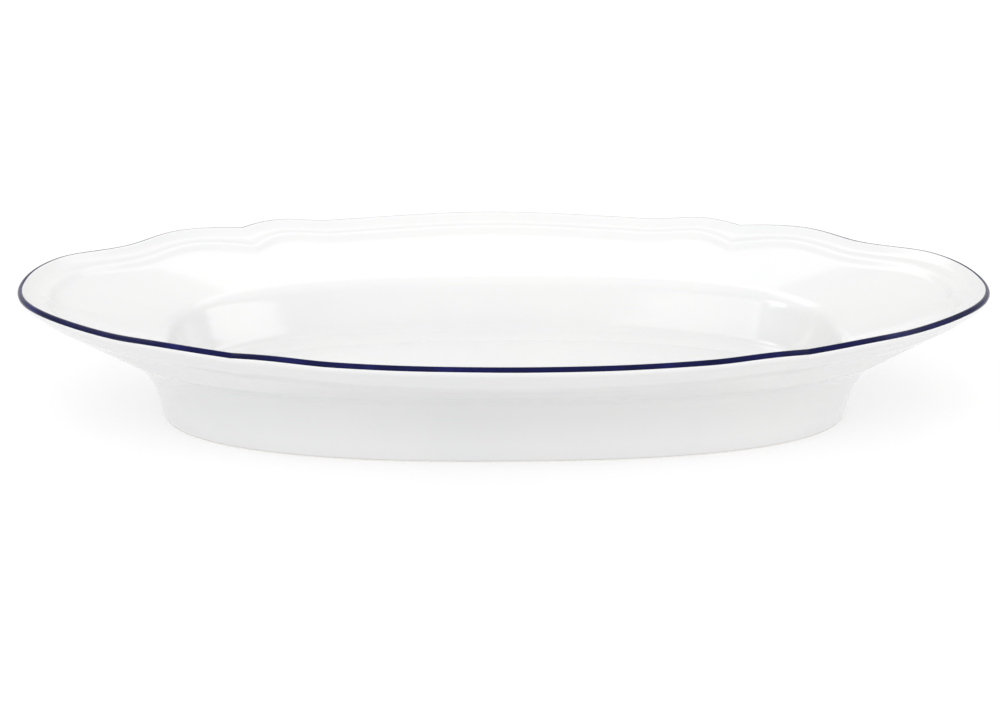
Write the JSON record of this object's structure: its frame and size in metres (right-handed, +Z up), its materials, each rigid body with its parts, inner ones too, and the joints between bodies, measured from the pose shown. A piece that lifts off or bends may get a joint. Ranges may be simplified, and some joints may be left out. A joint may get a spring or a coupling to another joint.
{
  "type": "oval serving platter",
  "caption": "Oval white china serving platter with a deep well, sloping flange, scalloped moulded rim, cobalt lip line and a bare foot ring.",
  "frame": {"origin": "middle of the resting face, on the table plane under the middle of the oval", "axes": "+X along the platter's length, +Y across its width, +Z up out of the well"},
  "size_m": [0.36, 0.25, 0.0488],
  "materials": {
    "porcelain": "fired white body, hidden under the glaze",
    "bare_clay": "unglazed, ground flat, fine matt grain",
    "glaze": "clear gloss glaze over white",
    "cobalt": "deep cobalt blue under gloss, hand-painted"
  },
  "bodies": {
    "root": {"porcelain_body": "porcelain", "foot_ring": "bare_clay", "upper_glaze": "glaze", "rim_line": "cobalt", "lower_glaze": "glaze", "recess_glaze": "glaze"}
  },
  "joints": []
}
